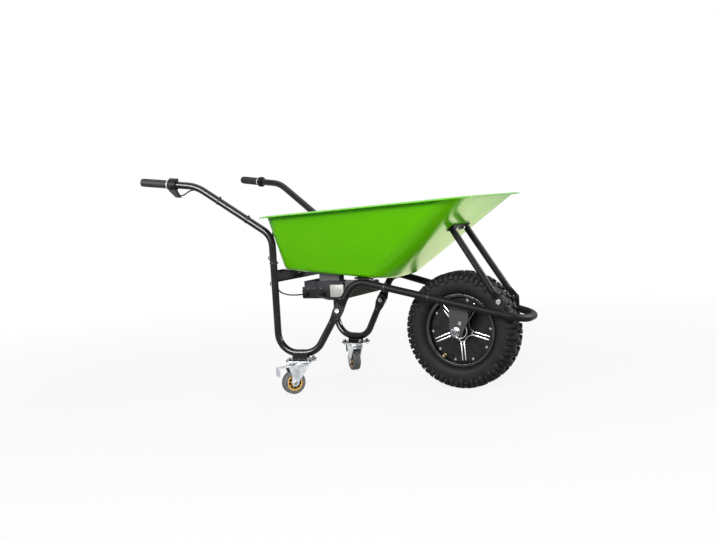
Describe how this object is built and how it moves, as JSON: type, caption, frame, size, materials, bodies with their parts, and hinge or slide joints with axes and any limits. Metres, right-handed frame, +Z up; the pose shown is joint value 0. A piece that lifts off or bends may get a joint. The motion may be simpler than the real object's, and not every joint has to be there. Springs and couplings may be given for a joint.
{
  "type": "electric wheelbarrow",
  "caption": "Electric wheelbarrow with a green pressed tray on a bent black tube frame, a hub-motor drive wheel in front and braked swivel casters under the legs",
  "frame": {"origin": "middle of the bounding box on the ground", "axes": "+X forward to the drive wheel, +Y to the user's left, +Z up"},
  "size_m": [1.344, 0.6538, 0.777],
  "materials": {
    "tray_green": "smooth gloss coat",
    "frame_black": "gloss powder coat",
    "tyre_black": "matte moulded rubber",
    "rim_black": "satin coat",
    "cover_black": "satin coat over a casting",
    "zinc_steel": "bright zinc plate",
    "dark_steel": "black oxide",
    "caster_grey": "matte",
    "caster_gold": "moulded",
    "grip_black": "matte ribbed",
    "plastic_black": "fine texture",
    "switch_red": "moulded",
    "cable_black": "smooth jacket",
    "bracket_grey": "satin coat",
    "valve_brass": "turned",
    "motor_iron": "laminated",
    "controller_alloy": "extruded",
    "pack_blue": "shrink wrap"
  },
  "bodies": {
    "frame": {"axle_nuts": "zinc_steel", "battery_box": "plastic_black", "battery_box_lid": "plastic_black", "battery_pack": "pack_blue", "box_hangers": "bracket_grey", "box_screws": "dark_steel", "cable_glands": "plastic_black", "cable_ties": "plastic_black", "caster_plate_bolts": "zinc_steel", "front_cross_member": "frame_black", "front_loop_tube": "frame_black", "left_caster_mount": "frame_black", "left_caster_plate": "zinc_steel", "left_dropout_plate": "frame_black", "left_grip": "grip_black", "left_grip_collar": "plastic_black", "left_handle_leg_tube": "frame_black", "left_tray_stay": "frame_black", "leg_joint_bolts": "zinc_steel", "motor_axle": "zinc_steel", "motor_cable": "cable_black", "motor_controller": "controller_alloy", "motor_stator": "motor_iron", "rear_cross_member": "frame_black", "rear_tray_brackets": "frame_black", "right_caster_mount": "frame_black", "right_caster_plate": "zinc_steel", "right_dropout_plate": "frame_black", "right_handle_leg_tube": "frame_black", "right_tray_stay": "frame_black", "stay_bolts": "zinc_steel", "stay_lugs": "frame_black", "stay_top_bridge": "frame_black", "throttle_cable": "cable_black", "throttle_clamp_screws": "dark_steel", "throttle_housing": "plastic_black", "torque_bolts": "zinc_steel", "tray": "tray_green", "tray_bolts": "zinc_steel"},
    "drive_wheel": {"drive_tyre": "tyre_black", "wheel_rim": "rim_black", "right_motor_cover": "cover_black", "left_motor_cover": "cover_black", "motor_cover_screws": "zinc_steel", "wheel_bearings": "zinc_steel", "magnet_ring": "dark_steel", "valve_stem": "valve_brass"},
    "throttle_twist_grip": {"throttle_grip": "grip_black"},
    "direction_rocker": {"direction_switch": "switch_red"},
    "right_caster_swivel_fork": {"right_caster_fork": "zinc_steel", "right_caster_axle": "zinc_steel"},
    "right_caster_wheel": {"right_caster_core": "caster_gold", "right_caster_tread": "caster_grey"},
    "right_brake_lever": {"right_brake_pedal": "zinc_steel"},
    "left_caster_swivel_fork": {"left_caster_fork": "zinc_steel", "left_caster_axle": "zinc_steel"},
    "left_caster_wheel": {"left_caster_core": "caster_gold", "left_caster_tread": "caster_grey"},
    "left_brake_lever": {"left_brake_pedal": "zinc_steel"}
  },
  "joints": [
    {"name": "drive_wheel_spin", "type": "hinge", "parent": "frame", "child": "drive_wheel", "pos_m": [0.4195, 0, 0.2], "axis": [0, 1, 0], "continuous": true},
    {"name": "throttle_twist", "type": "hinge", "parent": "frame", "child": "throttle_twist_grip", "pos_m": [-0.6655, -0.313, 0.763], "axis": [0.9724, 0.1983, -0.1227], "range_deg": [0, 60], "stiffness_Nm_per_rad": 0.25},
    {"name": "direction_rock", "type": "hinge", "parent": "frame", "child": "direction_rocker", "pos_m": [-0.54388, -0.2882, 0.7678], "axis": [0.1998, -0.9798, 0], "range_deg": [-9, 9]},
    {"name": "right_caster_swivel", "type": "hinge", "parent": "frame", "child": "right_caster_swivel_fork", "pos_m": [-0.1125, -0.199, 0.103], "axis": [0, 0, 1], "continuous": true},
    {"name": "right_caster_roll", "type": "hinge", "parent": "right_caster_swivel_fork", "child": "right_caster_wheel", "pos_m": [-0.13151, -0.22719, 0.04], "axis": [-0.829, 0.5592, 0], "continuous": true},
    {"name": "right_brake_press", "type": "hinge", "parent": "right_caster_swivel_fork", "child": "right_brake_lever", "pos_m": [-0.1248, -0.21724, 0.093], "axis": [0.829, -0.5592, 0], "range_deg": [0, 14]},
    {"name": "left_caster_swivel", "type": "hinge", "parent": "frame", "child": "left_caster_swivel_fork", "pos_m": [-0.1125, 0.199, 0.103], "axis": [0, 0, 1], "continuous": true},
    {"name": "left_caster_roll", "type": "hinge", "parent": "left_caster_swivel_fork", "child": "left_caster_wheel", "pos_m": [-0.13737, 0.22219, 0.04], "axis": [0.682, 0.7314, 0], "continuous": true},
    {"name": "left_brake_press", "type": "hinge", "parent": "left_caster_swivel_fork", "child": "left_brake_lever", "pos_m": [-0.12859, 0.214, 0.093], "axis": [-0.682, -0.7314, 0], "range_deg": [0, 14]}
  ]
}
